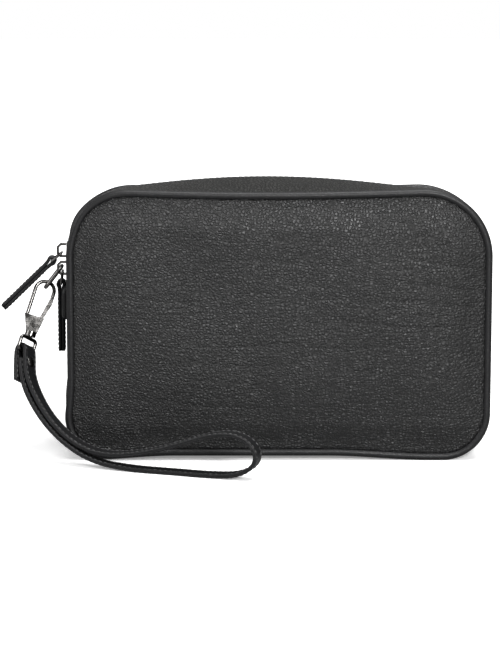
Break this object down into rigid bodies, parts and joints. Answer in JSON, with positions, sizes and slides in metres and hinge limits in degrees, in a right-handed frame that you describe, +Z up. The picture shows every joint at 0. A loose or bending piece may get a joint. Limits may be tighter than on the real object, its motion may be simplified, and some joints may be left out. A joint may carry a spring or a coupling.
{
  "type": "makeup bag",
  "caption": "Soft rectangular leather makeup bag with rolled piping, a zip over the top with two sliders and leather pulls, and a wrist strap on a swivelling snap hook.",
  "frame": {"origin": "middle of the bag's flat underside, on the surface it stands on", "axes": "+Z up, +X to the right as the front panel is faced, front panel towards -Y"},
  "size_m": [0.2884, 0.1234, 0.1622],
  "materials": {
    "leather_panel": "pebbled full-grain leather, charcoal black, satin",
    "leather_gusset": "grained leather, charcoal black, satin",
    "leather_piping": "smooth rolled leather, black, soft sheen",
    "leather_strap": "folded and stitched leather, fine grain, black",
    "piping_cord": "twisted cotton cord",
    "zip_tape": "woven black zip tape",
    "gunmetal": "polished dark gunmetal plating",
    "steel": "plain spring steel",
    "lining_cloth": "woven black lining",
    "board": "bonded fibre board"
  },
  "bodies": {
    "bag": {"front_panel": "leather_panel", "back_panel": "leather_panel", "front_zip_strip": "leather_gusset", "back_zip_strip": "leather_gusset", "bottom_gusset": "leather_gusset", "left_end_tab": "leather_gusset", "right_end_tab": "leather_gusset", "front_piping": "leather_piping", "back_piping": "leather_piping", "front_piping_cord": "piping_cord", "back_piping_cord": "piping_cord", "front_zip_tape": "zip_tape", "back_zip_tape": "zip_tape", "front_zip_teeth": "gunmetal", "back_zip_teeth": "gunmetal", "left_zip_stop": "gunmetal", "right_zip_stop": "gunmetal", "front_lining": "lining_cloth", "back_lining": "lining_cloth", "front_zip_lining": "lining_cloth", "back_zip_lining": "lining_cloth", "bottom_lining": "lining_cloth", "front_backing": "board", "back_backing": "board", "base_board": "board"},
    "upper_slider": {"upper_slider_body": "gunmetal", "upper_slider_crown": "gunmetal"},
    "upper_link": {"upper_link": "gunmetal"},
    "upper_pull": {"upper_leather_pull": "leather_strap"},
    "lower_slider": {"lower_slider_body": "gunmetal", "lower_slider_crown": "gunmetal"},
    "lower_link": {"lower_link": "gunmetal"},
    "lower_pull": {"lower_leather_pull": "leather_strap"},
    "strap_ring": {"strap_ring": "gunmetal"},
    "hook": {"hook_body": "gunmetal", "hook_gate_pin": "steel", "hook_gate_spring": "steel"},
    "hook_gate": {"hook_gate": "gunmetal"},
    "swivel": {"swivel_eye": "gunmetal"},
    "strap": {"wrist_strap": "leather_strap", "strap_rivet_cap": "gunmetal", "strap_rivet_post": "gunmetal"}
  },
  "joints": [
    {"name": "upper_slider_travel", "type": "hinge", "parent": "bag", "child": "upper_slider", "pos_m": [-0.085, 0, 0.12], "axis": [0, 1, 0], "range_deg": [0, 84]},
    {"name": "upper_link_swing", "type": "hinge", "parent": "upper_slider", "child": "upper_link", "pos_m": [-0.12705, 0, 0.1184], "axis": [0, 1, 0], "range_deg": [0, 70]},
    {"name": "upper_pull_swing", "type": "hinge", "parent": "upper_link", "child": "upper_pull", "pos_m": [-0.13296, 0, 0.11378], "axis": [0, 1, 0], "range_deg": [0, 60]},
    {"name": "lower_slider_travel", "type": "slide", "parent": "bag", "child": "lower_slider", "axis": [0, 0, 1], "range_m": [-0.003, 0.0003]},
    {"name": "lower_link_swing", "type": "hinge", "parent": "lower_slider", "child": "lower_link", "pos_m": [-0.12665, 0, 0.1075], "axis": [0, 1, 0], "range_deg": [0, 2]},
    {"name": "lower_pull_swing", "type": "hinge", "parent": "lower_link", "child": "lower_pull", "pos_m": [-0.12743, 0, 0.10004], "axis": [0, 1, 0], "range_deg": [0, 2]},
    {"name": "strap_ring_swing", "type": "hinge", "parent": "lower_slider", "child": "strap_ring", "pos_m": [-0.1272, 0, 0.1102], "axis": [0, 1, 0], "range_deg": [-2, 2]},
    {"name": "hook_swing", "type": "hinge", "parent": "strap_ring", "child": "hook", "pos_m": [-0.13656, 0, 0.09822], "axis": [0, 1, 0], "range_deg": [-3, 3]},
    {"name": "hook_gate_swing", "type": "hinge", "parent": "hook", "child": "hook_gate", "pos_m": [-0.14001, -0.00732, 0.0782], "axis": [-0.1057, 0.9397, -0.3253], "range_deg": [-18, 0], "stiffness_Nm_per_rad": 0.02},
    {"name": "swivel_turn", "type": "hinge", "parent": "hook", "child": "swivel", "pos_m": [-0.13656, 0, 0.09822], "axis": [0.2904, 0.342, 0.8937], "range_deg": [-60, 0]},
    {"name": "strap_swing", "type": "hinge", "parent": "swivel", "child": "strap", "pos_m": [-0.14838, -0.01392, 0.06185], "axis": [0.5578, 0.6983, -0.4485], "range_deg": [-3, 8]}
  ]
}
